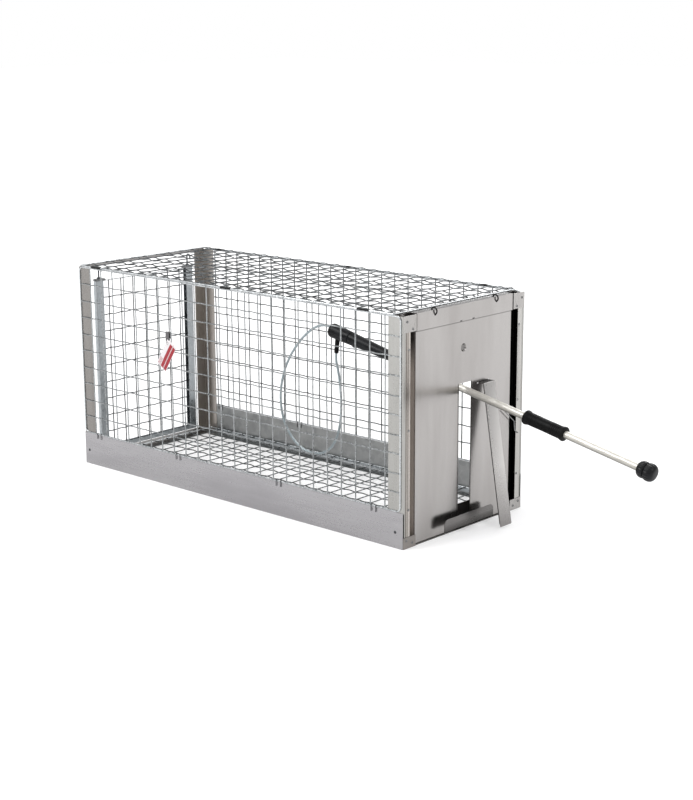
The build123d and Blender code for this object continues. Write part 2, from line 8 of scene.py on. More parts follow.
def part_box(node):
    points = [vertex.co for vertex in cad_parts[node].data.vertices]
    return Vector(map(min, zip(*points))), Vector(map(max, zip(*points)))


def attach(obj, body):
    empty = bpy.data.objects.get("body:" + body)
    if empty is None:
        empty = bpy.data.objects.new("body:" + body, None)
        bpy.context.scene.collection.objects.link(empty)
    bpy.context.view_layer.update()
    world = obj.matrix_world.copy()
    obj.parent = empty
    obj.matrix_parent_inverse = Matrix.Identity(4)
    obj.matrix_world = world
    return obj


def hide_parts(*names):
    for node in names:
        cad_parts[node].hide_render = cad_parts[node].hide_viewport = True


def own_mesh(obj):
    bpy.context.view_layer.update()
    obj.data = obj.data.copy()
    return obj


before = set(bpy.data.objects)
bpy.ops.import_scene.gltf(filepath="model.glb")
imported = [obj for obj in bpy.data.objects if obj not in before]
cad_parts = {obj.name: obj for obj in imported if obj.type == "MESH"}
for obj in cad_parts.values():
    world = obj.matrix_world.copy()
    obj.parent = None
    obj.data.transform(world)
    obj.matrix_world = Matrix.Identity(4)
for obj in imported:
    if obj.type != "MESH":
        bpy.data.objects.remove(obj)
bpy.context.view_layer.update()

# A live catch trap with a catch pole in its door slot. Metres, in the part's own frame:
# the ground is Z 0, the door end faces +X and the front side faces -Y.

LENGTHWISE = Vector((1, 0, 0))
ACROSS = Vector((0, 1, 0))
UP = Vector((0, 0, 1))


# ---- camera -------------------------------------------------------------
CAMERA_PLACE = (2.5620, -3.2426, 1.3218)
CAMERA_AZIMUTH = math.radians(42.404)
CAMERA_ELEVATION = math.radians(13.358)
CAMERA_ROLL = math.radians(-0.262)
CAMERA_LENS = 73.919


def place_camera():
    """Camera at the photograph's viewing angle."""
    data = bpy.data.cameras.new("camera")
    data.lens = CAMERA_LENS
    data.sensor_width = 36
    camera = bpy.data.objects.new("camera", data)
    flat = math.cos(CAMERA_ELEVATION)
    back = Vector((math.sin(CAMERA_AZIMUTH) * flat, -math.cos(CAMERA_AZIMUTH) * flat,
                   math.sin(CAMERA_ELEVATION)))
    camera.location = CAMERA_PLACE
    camera.rotation_mode = "QUATERNION"
    camera.rotation_quaternion = (-back).to_track_quat("-Z", "Y") @ Quaternion(UP, CAMERA_ROLL)
    bpy.context.scene.collection.objects.link(camera)
    bpy.context.scene.camera = camera


# ---- finishes -----------------------------------------------------------
def add_node(tree, kind, values, output=0, **settings):
    """Adds a shader node, sets or links its inputs, and returns one of its outputs."""
    made = tree.nodes.new("ShaderNode" + kind)
    for name, value in settings.items():
        setattr(made, name, value)
    for key, value in values.items():
        if isinstance(value, bpy.types.NodeSocket):
            tree.links.new(value, made.inputs[key])
        else:
            made.inputs[key].default_value = value
    return made.outputs[output]


class Finish:
    """A material whose node tree is built with short calls."""

    def __init__(self, name, metallic=0.0):
        self.material = bpy.data.materials.new(name)
        self.material.use_nodes = True
        self.tree = self.material.node_tree
        self.shader = self.tree.nodes["Principled BSDF"]
        self.shader.inputs["Metallic"].default_value = metallic
        self.place = add_node(self.tree, "TexCoord", {}, output=3)

    def stretched(self, scale):
        """The piece's own coordinates, scaled along each axis."""
        return add_node(self.tree, "Mapping", {"Vector": self.place, "Scale": scale})

    def noise(self, vector, scale=1.0, detail=3.0, roughness=0.55):
        return add_node(self.tree, "TexNoise", {"Vector": vector, "Scale": scale, "Detail": detail,
                                                "Roughness": roughness})

    def cells(self, vector, scale):
        return add_node(self.tree, "TexVoronoi", {"Vector": vector, "Scale": scale}, output=1)

    def ramp(self, share, stops):
        """Colour along a share, from (place, colour) stops."""
        made = add_node(self.tree, "ValToRGB", {"Fac": share}).node
        elements = made.color_ramp.elements
        for _ in stops[2:]:
            elements.new(0.5)
        for element, (place, colour) in zip(elements, stops):
            element.position = place
            element.color = (*colour, 1)
        return made.outputs[0]

    def spread(self, share, low, high, start=0.3, end=0.7):
        """A number from low to high as the share goes from start to end."""
        return add_node(self.tree, "MapRange", {"Value": share, "From Min": start, "From Max": end,
                                                "To Min": low, "To Max": high})

    def rise(self, share, start, end, top=1.0):
        """From 0 to top as the share goes from start to end."""
        return self.spread(share, 0.0, top, start, end)

    def fall(self, share, start, end, top=1.0):
        """From top to 0 as the share goes from start to end."""
        return self.spread(share, top, 0.0, start, end)

    def maths(self, operation, first, second):
        return add_node(self.tree, "Math", {0: first, 1: second}, operation=operation)

    def product(self, *shares):
        """Several numbers multiplied together."""
        total = shares[0]
        for share in shares[1:]:
            total = self.maths("MULTIPLY", total, share)
        return total

    def largest(self, *shares):
        """The largest of several numbers."""
        most = shares[0]
        for share in shares[1:]:
            most = self.maths("MAXIMUM", most, share)
        return most

    def parts(self):
        """X, Y and Z in the frame of the part."""
        return [add_node(self.tree, "SeparateXYZ", {"Vector": self.place}, output=k) for k in range(3)]

    def mixed(self, share, first, second, blend="MIX"):
        return add_node(self.tree, "Mix", {0: share, 6: first, 7: second}, output=2,
                        data_type="RGBA", blend_type=blend)

    def bump(self, height, depth, strength=0.6):
        """Surface relief of that depth in metres."""
        normal = add_node(self.tree, "Bump", {"Height": height, "Distance": depth,
                                              "Strength": strength})
        self.tree.links.new(normal, self.shader.inputs["Normal"])

    def set(self, **values):
        """Sets or links inputs of the main shader."""
        for key, value in values.items():
            socket = self.shader.inputs[key.replace("_", " ")]
            if isinstance(value, bpy.types.NodeSocket):
                self.tree.links.new(value, socket)
            else:
                socket.default_value = value


GRAIN = {"X": (4, 620, 620), "Y": (620, 4, 620), "Z": (620, 620, 4)}
FOLD_SMEAR = {"X": (1.2, 9, 9), "Y": (9, 1.2, 9), "Z": (9, 9, 1.6)}


def brushed_sheet(name, dark, light, grain, roughness, shade=None, shadow=(0.012, 0.011, 0.010),
                  painted_reflection=None):
    """Satin steel sheet: fine grain along one axis, cloudy handling marks, a few scratches.
    shade(finish) gives the share of the painted shadow colour; the other mask, that of a painted brown
    reflection."""
    finish = Finish(name, metallic=1.0)
    lines = finish.noise(finish.stretched(GRAIN[grain]), detail=4, roughness=0.7)
    clouds = finish.noise(finish.stretched(FOLD_SMEAR[grain]), detail=4, roughness=0.6)
    specks = finish.noise(finish.place, scale=160, detail=2)
    tone = finish.maths("ADD", finish.product(lines, 0.15), finish.product(clouds, 0.85))
    colour = finish.ramp(tone, [(0.36, dark), (0.64, light)])
    # painted reflection: a duller, less metallic brown standing in for light reflected into a gap
    if painted_reflection:
        reflection_share = painted_reflection(finish)
        colour = finish.mixed(reflection_share, colour, (0.45, 0.40, 0.36, 1))
        finish.set(Metallic=finish.spread(reflection_share, 1.0, 0.2, 0.0, 1.0))
    if shade:
        colour = finish.mixed(shade(finish), colour, (*shadow, 1))
    finish.set(Base_Color=colour)
    rough = finish.maths("ADD", finish.spread(clouds, roughness - 0.03, roughness + 0.05),
                         finish.spread(specks, -0.008, 0.012))
    finish.set(Roughness=finish.maths("ADD", rough, finish.spread(lines, -0.015, 0.015)))
    finish.bump(lines, 0.00005, strength=0.08)
    return finish.material


def zinc_coat(name, dark, light, roughness, spangle, relief=0.5):
    """Hot dip zinc: crystals of slightly different grey, dull patches and small runs."""
    finish = Finish(name, metallic=1.0)
    crystals = finish.cells(finish.place, spangle)
    grey = add_node(finish.tree, "RGBToBW", {"Color": crystals})
    patches = finish.noise(finish.place, scale=38, detail=4, roughness=0.65)
    runs = finish.noise(finish.place, scale=420, detail=3)
    tone = finish.maths("ADD", finish.product(grey, 0.35), finish.product(patches, 0.65))
    finish.set(Base_Color=finish.ramp(tone, [(0.3, dark), (0.68, light)]))
    finish.set(Roughness=finish.maths("ADD", finish.spread(patches, roughness, roughness + 0.2),
                                      finish.spread(grey, -0.05, 0.05)))
    finish.bump(runs, 0.00012, strength=relief)
    return finish.material


def moulded(name, dark, light, roughness, grain_scale, depth, gloss=0.2):
    """Moulded black plastic or rubber: fine surface grain, scuffed paler in places."""
    finish = Finish(name)
    grain = finish.noise(finish.place, scale=grain_scale, detail=3)
    scuffs = finish.noise(finish.place, scale=55, detail=5, roughness=0.7)
    finish.set(Base_Color=finish.ramp(scuffs, [(0.42, dark), (0.72, light)]))
    finish.set(Roughness=finish.spread(scuffs, roughness - 0.08, roughness + 0.12))
    finish.set(Specular_IOR_Level=gloss)
    finish.bump(grain, depth)
    return finish.material


def satin_tube(name):
    """Pale satin aluminium with faint marks along the tube, and painted shade that darkens its
    underside.
    """
    finish = Finish(name, metallic=0.35)
    x, _, z = finish.parts()
    rise = finish.maths("ADD", finish.product(x, POLE_RISE.x), finish.product(z, POLE_RISE.z))
    height = finish.maths("SUBTRACT", rise, POLE_ORIGIN.dot(POLE_RISE))
    marks = finish.noise(finish.stretched((9, 260, 260)), detail=4, roughness=0.65)
    patches = finish.noise(finish.place, scale=14, detail=4)
    colour = finish.ramp(marks, [(0.35, (0.56, 0.54, 0.49)), (0.62, (0.72, 0.70, 0.65))])
    worn = finish.mixed(finish.rise(patches, 0.5, 0.8, 0.35), colour, (0.5, 0.48, 0.44, 1))
    # painted shade: darker on the tube's underside
    shaded_underside = finish.mixed(finish.spread(height, 0.93, 0.0, -0.0085, 0.0035), worn,
                           (0.035, 0.032, 0.028, 1))
    finish.set(Base_Color=shaded_underside)
    finish.set(Roughness=finish.spread(patches, 0.26, 0.42))
    finish.bump(marks, 0.00003, strength=0.4)
    return finish.material


def cable_sheath(name):
    """Grey wire rope seen through its thin clear sheath."""
    finish = Finish(name, metallic=0.25)
    strands = finish.noise(finish.place, scale=900, detail=2)
    patches = finish.noise(finish.place, scale=30, detail=3)
    colour = finish.ramp(strands, [(0.38, (0.20, 0.245, 0.265)), (0.62, (0.42, 0.485, 0.51))])
    finish.set(Base_Color=finish.mixed(finish.spread(patches, 0.0, 0.4), colour,
                                       (0.34, 0.40, 0.42, 1)))
    finish.set(Roughness=finish.spread(patches, 0.24, 0.38))
    finish.set(Coat_Weight=0.5, Coat_Roughness=0.12)
    finish.bump(strands, 0.00006, strength=0.4)
    return finish.material


def printed_card(name):
    """White coated card with two dark red bars along it and a small red check."""
    finish = Finish(name)
    across, _, along = finish.parts()
    paper_grain = finish.noise(finish.place, scale=600, detail=4)
    paper = finish.ramp(paper_grain, [(0.3, (0.60, 0.57, 0.585)), (0.7, (0.72, 0.69, 0.70))])
    ink = finish.ramp(paper_grain, [(0.3, (0.24, 0.005, 0.013)), (0.7, (0.34, 0.010, 0.022))])

    def band(value, low, high):
        """1 between two limits, 0 outside them."""
        return finish.product(finish.maths("GREATER_THAN", value, low),
                              finish.maths("LESS_THAN", value, high))

    bars = finish.maths("ADD", band(across, -0.0045, 0.0065), band(across, 0.0095, 0.0198))
    hatch = finish.maths("FRACT", finish.product(finish.maths("ADD", across, along), 190), 0)
    hatched = finish.product(band(across, 0.0065, 0.0095), finish.maths("GREATER_THAN", hatch, 0.6))
    checks = add_node(finish.tree, "TexChecker", {"Vector": finish.place, "Scale": 330.0}, output=1)
    corner = finish.product(band(across, -0.0185, -0.006), band(along, -0.041, -0.017))
    checked = finish.product(corner, finish.product(checks, 0.85))
    bars = finish.product(bars, band(along, -0.0415, 0.038))
    printed = finish.largest(bars, hatched, checked)
    finish.set(Base_Color=finish.mixed(printed, paper, ink))
    finish.set(Roughness=finish.spread(paper_grain, 0.38, 0.5))
    finish.bump(paper_grain, 0.00003, strength=0.3)
    return finish.material


def webbing(name):
    """Grey woven tape with crossing ribs."""
    finish = Finish(name)
    ribs = add_node(finish.tree, "TexWave", {"Vector": finish.place, "Scale": 330.0,
                                             "Distortion": 0.6, "Detail": 1.0},
                    output=1, bands_direction="Z")
    threads = add_node(finish.tree, "TexWave", {"Vector": finish.place, "Scale": 240.0,
                                                "Distortion": 0.6, "Detail": 1.0},
                       output=1, bands_direction="X")
    weave = finish.product(ribs, threads)
    fuzz = finish.noise(finish.place, scale=700, detail=3)
    colour = finish.ramp(finish.maths("ADD", finish.product(weave, 0.6), finish.product(fuzz, 0.4)),
                         [(0.2, (0.05, 0.047, 0.05)), (0.75, (0.17, 0.165, 0.17))])
    finish.set(Base_Color=colour, Roughness=finish.spread(fuzz, 0.75, 0.95))
    finish.set(Sheen_Weight=0.3)
    finish.bump(weave, 0.0003)
    return finish.material


def painted_floor(name):
    """Plain pale studio floor with the faintest mottling, washed with light further out."""
    finish = Finish(name)
    mottle = finish.noise(finish.place, scale=2.2, detail=3)
    finish.set(Base_Color=finish.ramp(mottle, [(0.3, (0.63, 0.63, 0.635)), (0.7, (0.66, 0.66, 0.66))]))
    finish.set(Roughness=finish.spread(mottle, 0.85, 0.95))
    distance = add_node(finish.tree, "VectorMath", {0: finish.place}, output=1, operation="LENGTH")
    finish.set(Emission_Color=(1.0, 1.0, 1.0, 1.0))
    finish.set(Emission_Strength=finish.spread(distance, 0.38, 0.95, 1.2, 7.0))
    return finish.material


# Shares of painted shade and a painted brown reflection, as functions of the place on the part in
# metres
WALL_X = (0.004, 0.0095)         # behind the door's face the painted shade and reflection are full, in front there are none
WALL_TOP = (0.5520, 0.5530)      # the painted shade and reflection end under the door's top band
FRONT_WALL_Y = (-0.1945, -0.1925)
REAR_WALL_Y = (0.1900, 0.1938)
LIP_X = (0.0085, 0.0130)         # between the guides' channels and their front lips
POST_FRONT_X = (0.0130, 0.0145)  # the face of the door posts
DISH_Y, DISH_Z = -0.0040, 0.4820
SLOT_TOP = (0.3880, 0.3900)


def door_shade(finish):
    """Painted shade on the door's walls in the guides, fully on the rear wall and near the top of the
    front wall, a painted shadow under its top band, painted shade in the dish, dark lines by the slot."""
    x, y, z = finish.parts()
    behind = finish.product(finish.fall(z, *WALL_TOP), finish.fall(x, *WALL_X))
    right = finish.product(behind, finish.rise(y, *REAR_WALL_Y, 0.96))
    left = finish.product(behind, finish.fall(y, *FRONT_WALL_Y, 0.9), finish.rise(z, 0.46, 0.53))
    # painted shadow under the overhanging top band
    band_shadow = finish.product(finish.rise(z, 0.5478, 0.5520, 0.85), finish.fall(z, 0.5530, 0.5541),
                            finish.fall(x, 0.0108, 0.0113))
    # painted shade over the pressed dish
    offset = finish.maths("ADD", finish.maths("POWER", finish.maths("SUBTRACT", y, DISH_Y), 2.0),
                          finish.maths("POWER", finish.maths("SUBTRACT", z, DISH_Z), 2.0))
    dish = finish.fall(finish.maths("SQRT", offset, 0.0), 0.0085, 0.0112, 0.5)
    beside = finish.fall(z, *SLOT_TOP)
    slot_left = finish.product(beside, finish.rise(y, -0.0275, -0.0250, 0.55),
                               finish.fall(y, -0.0205, -0.0200))
    slot_right = finish.product(beside, finish.rise(y, 0.0285, 0.0290, 0.6),
                                finish.fall(y, 0.0310, 0.0325))
    return finish.largest(right, left, band_shadow, dish, slot_left, slot_right)


def door_painted_reflection(finish):
    """Painted reflection: duller brown on the door's front wall, where it slides in the guide."""
    x, y, z = finish.parts()
    return finish.product(finish.fall(x, *WALL_X), finish.fall(y, *FRONT_WALL_Y),
                          finish.fall(z, *WALL_TOP))


def rear_guide_shade(finish):
    """Painted shade over everything behind the rear guide's front lip, and thin dark lines on the lip.
    """
    x, y, _ = finish.parts()
    dark_line = finish.fall(finish.maths("PINGPONG", y, 0.0035), 0.0, 0.0009, 0.42)
    dark_lines = finish.product(dark_line, finish.rise(y, 0.2300, 0.2330))
    return finish.largest(finish.fall(x, *LIP_X, 0.97), dark_lines)


def front_guide_shade(finish):
    """A dark line beside the post, a darker band, and lighter painted shade behind the lip."""
    x, y, _ = finish.parts()
    dark_line = finish.product(finish.rise(y, -0.2385, -0.2365, 0.85), finish.fall(y, -0.2350, -0.2325))
    band = finish.product(finish.rise(y, -0.2330, -0.2320, 0.45), finish.fall(y, -0.2265, -0.2245))
    return finish.largest(dark_line, band, finish.fall(x, *LIP_X, 0.45))


def post_shade(finish):
    """Painted shadow in the narrow corner where a door post meets its rail, and darker lines along its
    edges.
    """
    x, y, z = finish.parts()
    side = finish.maths("ABSOLUTE", y, 0.0)
    face = finish.rise(x, *POST_FRONT_X)
    corner = finish.product(finish.fall(z, 0.090, 0.096), finish.rise(side, 0.2405, 0.2425, 0.97),
                            face)
    edge = finish.product(finish.rise(side, 0.2385, 0.2375, 0.55), face)
    outer = finish.product(finish.rise(y, 0.2440, 0.2448, 0.75), face)
    return finish.largest(corner, edge, outer)


def pocket_shade(finish):
    """Painted shade on the back of the pocket's plate and its tongue, and darker towards its lower
    edge.
    """
    x, _, z = finish.parts()
    return finish.largest(finish.fall(x, 0.0312, 0.0322, 0.9), finish.fall(z, 0.015, 0.034, 0.6))


def cover_shade(finish):
    """Painted shade on the back and the side edges of the slot cover's leg, and darker towards its
    foot.
    """
    x, y, z = finish.parts()
    level = finish.maths("ADD", x, finish.product(z, math.tan(COVER_LEAN)))
    front = COVER_FRONT + NECK_HEIGHT * math.tan(COVER_LEAN)
    back = finish.fall(level, front - 0.0013, front - 0.0006, 0.9)
    edges = finish.rise(finish.maths("ABSOLUTE", finish.maths("SUBTRACT", y, COVER_Y), 0.0),
                        0.0231, 0.0236, 0.85)
    return finish.largest(back, edges, finish.fall(z, 0.010, 0.165, 0.62))


COVER_LEAN = math.radians(9.4)
COVER_FRONT = 0.031      # X of the slot cover's front face at the neck
COVER_Y = 0.0795
NECK_HEIGHT = 0.380
POLE_ORIGIN = Vector((0.011, 0.004, 0.370))
POLE_FALL = math.radians(11.8)
POLE_WAY = Vector((math.cos(POLE_FALL), 0, -math.sin(POLE_FALL)))
POLE_RISE = Vector((math.sin(POLE_FALL), 0, math.cos(POLE_FALL)))

door_steel = brushed_sheet("door_steel", (0.33, 0.315, 0.305), (0.41, 0.395, 0.385), "Z", 0.21,
                           door_shade, painted_reflection=door_painted_reflection)
gusset_steel = brushed_sheet("gusset_steel", (0.33, 0.318, 0.307), (0.44, 0.428, 0.417), "Z", 0.24)
base_steel = brushed_sheet("base_steel", (0.17, 0.155, 0.145), (0.28, 0.26, 0.245), "Y", 0.30)
cover_steel = brushed_sheet("cover_steel", (0.50, 0.485, 0.47), (0.57, 0.555, 0.54), "Z", 0.25,
                            cover_shade, (0.10, 0.092, 0.092))
pocket_steel = brushed_sheet("pocket_steel", (0.15, 0.145, 0.14), (0.25, 0.24, 0.235), "Y", 0.28,
                             pocket_shade)
post_steel = brushed_sheet("post_steel", (0.20, 0.190, 0.180), (0.27, 0.258, 0.245), "Z", 0.27)
rear_post_steel = brushed_sheet("rear_post_steel", (0.33, 0.305, 0.28), (0.41, 0.385, 0.36), "Z", 0.30)
door_post_steel = brushed_sheet("door_post_steel", (0.30, 0.295, 0.28), (0.42, 0.415, 0.40), "Z",
                                0.27, post_shade)
front_guide_steel = brushed_sheet("front_guide_steel", (0.42, 0.385, 0.355), (0.55, 0.515, 0.48), "Z",
                                  0.24, front_guide_shade, (0.06, 0.050, 0.042))
rear_guide_steel = brushed_sheet("rear_guide_steel", (0.42, 0.41, 0.39), (0.53, 0.52, 0.50), "Z",
                                 0.26, rear_guide_shade)
rail_steel = brushed_sheet("rail_steel", (0.31, 0.302, 0.312), (0.40, 0.392, 0.402), "X", 0.27)
rear_rail_zinc = zinc_coat("rear_rail_zinc", (0.325, 0.33, 0.33), (0.455, 0.46, 0.455), 0.32, 70,
                           relief=0.12)
level_steel = brushed_sheet("level_steel", (0.30, 0.29, 0.285), (0.42, 0.41, 0.40), "Y", 0.30)
zinc_channel = zinc_coat("zinc_channel", (0.31, 0.335, 0.35), (0.46, 0.485, 0.50), 0.28, 120,
                         relief=0.15)
zinc_wire = zinc_coat("zinc_wire", (0.19, 0.20, 0.205), (0.44, 0.455, 0.46), 0.20, 260)
# darker copy of the zinc wire, painted shade, for the rear, roof, floor and squeeze meshes and the roof
# hooks
shaded_wire = zinc_coat("shaded_wire", (0.05, 0.053, 0.055), (0.19, 0.20, 0.205), 0.24, 260)
# lighter copy of the zinc wire, painted highlight, for the frame wires
highlight_wire = zinc_coat("highlight_wire", (0.42, 0.44, 0.45), (0.68, 0.70, 0.71), 0.20, 260, relief=0.25)
dull_zinc = zinc_coat("dull_zinc", (0.16, 0.165, 0.17), (0.32, 0.32, 0.32), 0.34, 300)
dark_zinc = zinc_coat("dark_zinc", (0.035, 0.035, 0.038), (0.12, 0.125, 0.13), 0.36, 300)
black_enamel = moulded("black_enamel", (0.002, 0.002, 0.002), (0.008, 0.008, 0.008), 0.36, 500,
                       0.00004)
black_plastic = moulded("black_plastic", (0.002, 0.0024, 0.003), (0.010, 0.011, 0.013), 0.36, 900,
                        0.00008)
black_rubber = moulded("black_rubber", (0.0014, 0.0014, 0.0014), (0.006, 0.006, 0.006), 0.46, 650,
                       0.00012, gloss=0.12)
pale_tube = satin_tube("pale_tube")
grey_sheath = cable_sheath("grey_sheath")
card = printed_card("printed_card")
tape = webbing("grey_webbing")


# ---- shape helpers ------------------------------------------------------
class Shape:
    """Vertices and faces of one piece, added to bit by bit."""

    def __init__(self):
        self.points = []
        self.faces = []

    def rings(self, rings, closed=False, caps=True):
        """Joins rings of the same number of points into one skin."""
        first = len(self.points)
        count = len(rings[0])
        for ring in rings:
            self.points.extend(ring)
        spans = len(rings) if closed else len(rings) - 1
        for i in range(spans):
            here = first + i * count
            there = first + (i + 1) % len(rings) * count
            for k in range(count):
                k2 = (k + 1) % count
                self.faces.append((here + k, here + k2, there + k2, there + k))
        if caps and not closed:
            last = first + (len(rings) - 1) * count
            self.faces.append(tuple(first + k for k in reversed(range(count))))
            self.faces.append(tuple(last + k for k in range(count)))

    def sweep(self, path, section, across, closed=False, widths=None, caps=True):
        """Carries a flat section of (across, through) offsets along a path.
        Widths scale the section's across offsets, one for each point of the path."""
        rings = []
        for i, here in enumerate(path):
            before = path[i - 1] if closed or i > 0 else here
            after = path[(i + 1) % len(path)] if closed or i + 1 < len(path) else here
            tangent = (after - before).normalized()
            side = (across - tangent * across.dot(tangent)).normalized()
            through = tangent.cross(side)
            width = widths[i] if widths else 1.0
            rings.append([here + side * (a * width) + through * b for a, b in section])
        self.rings(rings, closed, caps)

    def lathe(self, profile, centre, axis, across, segments=40, wobble=None):
        """Turns (distance, radius) points round an axis. wobble(distance, angle) adds to the radius."""
        other = axis.cross(across)
        rings = []
        for distance, radius in profile:
            ring = []
            for k in range(segments):
                angle = math.tau * k / segments
                reach = radius + (wobble(distance, angle) if wobble else 0.0)
                way = across * math.cos(angle) + other * math.sin(angle)
                ring.append(centre + axis * distance + way * reach)
            rings.append(ring)
        self.rings(rings)

    def piece(self, name, body, material, slot, *nodes, sharp=35):
        """Makes the object, gives it its finish and body, and hides the CAD nodes it stands for."""
        mesh = bpy.data.meshes.new(name)
        mesh.from_pydata(self.points, [], self.faces)
        mesh.update()
        mesh.shade_smooth()
        mesh.set_sharp_from_angle(angle=math.radians(sharp))
        made = bpy.data.objects.new(name, mesh)
        bpy.context.scene.collection.objects.link(made)
        made.data.materials.append(material)
        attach(made, body)
        if nodes:
            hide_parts(*nodes)
        return made


def circle(radius, sides=10):
    """Round section for a sweep."""
    return [(radius * math.cos(math.tau * k / sides), radius * math.sin(math.tau * k / sides))
            for k in range(sides)]


def rounded_bar(width, thickness, edge, steps=3):
    """Flat section with rounded edges."""
    section = []
    for corner, (sx, sy) in enumerate(((1, 1), (-1, 1), (-1, -1), (1, -1))):
        for k in range(steps + 1):
            angle = math.pi / 2 * (corner + k / steps)
            section.append((sx * (width / 2 - edge) + edge * math.cos(angle),
                            sy * (thickness / 2 - edge) + edge * math.sin(angle)))
    return section


def round_corners(points, radius, closed=False, steps=6):
    """Points of a sheet or wire path with each corner turned into an arc."""
    path = [] if closed else [points[0]]
    count = len(points)
    for i in range(0 if closed else 1, count if closed else count - 1):
        here = points[i]
        back = (points[i - 1] - here).normalized()
        ahead = (points[(i + 1) % count] - here).normalized()
        half = back.angle(ahead) / 2
        reach = radius / math.tan(half)
        middle = here + (back + ahead).normalized() * (radius / math.sin(half))
        start = (here + back * reach - middle).normalized()
        end = (here + ahead * reach - middle).normalized()
        for k in range(steps + 1):
            path.append(middle + start.slerp(end, k / steps) * radius)
    if not closed:
        path.append(points[-1])
    return path


# ---- CAD pieces that keep their shape ----------------------------------
FOLD_ROUNDING = 0.0004
WELD_REACH = 0.00001
FOLD_ANGLE = math.radians(40)


def soften(node):
    """Rounds a sheet piece's edges a little, so that they catch the light."""
    weld = node.modifiers.new("weld", "WELD")
    weld.merge_threshold = WELD_REACH
    bevel = node.modifiers.new("edges", "BEVEL")
    bevel.width = FOLD_ROUNDING
    bevel.segments = 2
    bevel.limit_method = "ANGLE"
    bevel.angle_limit = FOLD_ANGLE
    node.modifiers.new("normals", "WEIGHTED_NORMAL")


KEPT_NODES = {
    door_steel: ["door_panel"],
    gusset_steel: ["front_top_gusset", "rear_top_gusset", "rear_base_gusset"],
    base_steel: ["front_base_gusset"],
    pocket_steel: ["cover_pocket"],
    post_steel: ["front_left_post"],
    rear_post_steel: ["rear_left_post"],
    door_post_steel: ["front_right_post", "rear_right_post"],
    front_guide_steel: ["front_door_guide"],
    rear_guide_steel: ["rear_door_guide"],
    rail_steel: ["front_rail"],
    rear_rail_zinc: ["rear_rail"],
    level_steel: ["left_top_bar", "left_bottom_bar", "door_end_top_bar", "door_sill"],
    zinc_channel: ["front_floor_ledge", "rear_floor_ledge", "squeeze_front_channel",
                   "squeeze_rear_channel", "squeeze_bottom_channel"],
}
PLAIN_NODES = {
    dull_zinc: ["door_lock_wire", "pull_rod"],
    black_enamel: ["door_lift_rings"],
    pale_tube: ["pole_tube"],
}


def dress_kept_nodes():
    """Gives the CAD pieces that stay visible their finish and softened edges."""
    for table, softened in ((KEPT_NODES, True), (PLAIN_NODES, False)):
        for material, names in table.items():
            for name in names:
                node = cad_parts[name]
                node.data.materials.clear()
                node.data.materials.append(material)
                if softened:
                    soften(node)


# ---- wire mesh ----------------------------------------------------------
WIRE = 0.0017            # radius of the mesh wires
CRIMP_STEPS = 8          # points along a wire in each cell
LAY_OVER = 0.0009        # the cross wires lie this far outside the line wires
EDGE_ROW = 0.004         # extra crimped rows lie this far inside the border
HALF_BAR = 0.0015        # half the width of a CAD grid's bar
shake = random.Random(7)


def even(first, last, gaps):
    """Evenly spaced places, both ends included."""
    return [first + (last - first) * k / gaps for k in range(gaps + 1)]


def wire_panel(name, node, body, material, place, bars_u, bars_v, crimp, border, edge_rows=False):
    """Welded mesh of crimped line wires along u, straight cross wires along v and a frame wire.
    place(u, v, out) turns panel coordinates into a point. crimp is half the height of a crimp
    in the panel and square to it; border is the frame wire's radius and its corner radius."""
    shape = Shape()
    outward = place(0, 0, 1) - place(0, 0, 0)
    rows = list(bars_v[1:-1])
    if edge_rows:
        rows = [bars_v[0] + EDGE_ROW] + rows + [bars_v[-1] - EDGE_ROW]
    for row, v in enumerate(rows):
        way = -1 if row % 2 else 1
        path = []
        lean = shake.uniform(-0.0006, 0.0006)
        for start, end in zip(bars_u, bars_u[1:]):
            tall = shake.uniform(0.75, 1.15)
            for k in range(CRIMP_STEPS):
                share = k / CRIMP_STEPS
                bend = (1 - math.cos(math.tau * share)) * tall
                path.append(place(start + (end - start) * share, v + lean + crimp[0] * bend * way,
                                  crimp[1] * bend * way))
        path.append(place(bars_u[-1], v + lean, 0))
        shape.sweep(path, circle(WIRE, 8), outward)
    for u in bars_u[1:-1]:
        path = [place(u + shake.uniform(-0.0007, 0.0007), v, LAY_OVER) for v in bars_v]
        shape.sweep(path, circle(WIRE, 8), outward)
    corners = [place(bars_u[0], bars_v[0], 0), place(bars_u[-1], bars_v[0], 0),
               place(bars_u[-1], bars_v[-1], 0), place(bars_u[0], bars_v[-1], 0)]
    shape.piece(name, body, material, "galvanised_wire", node)
    frame_wire = Shape()
    frame_wire.sweep(round_corners(corners, border[1], closed=True), circle(border[0], 10), outward,
                     closed=True)
    frame_wire.piece(name + "_border", body, highlight_wire, "galvanised_wire")


def bars_of(node, axis, gaps):
    """Places of a CAD grid's evenly spaced bars along one axis, from its box."""
    low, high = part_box(node)
    return even(low[axis] + HALF_BAR, high[axis] - HALF_BAR, gaps)


def middle_of(node, axis):
    low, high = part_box(node)
    return (low[axis] + high[axis]) / 2


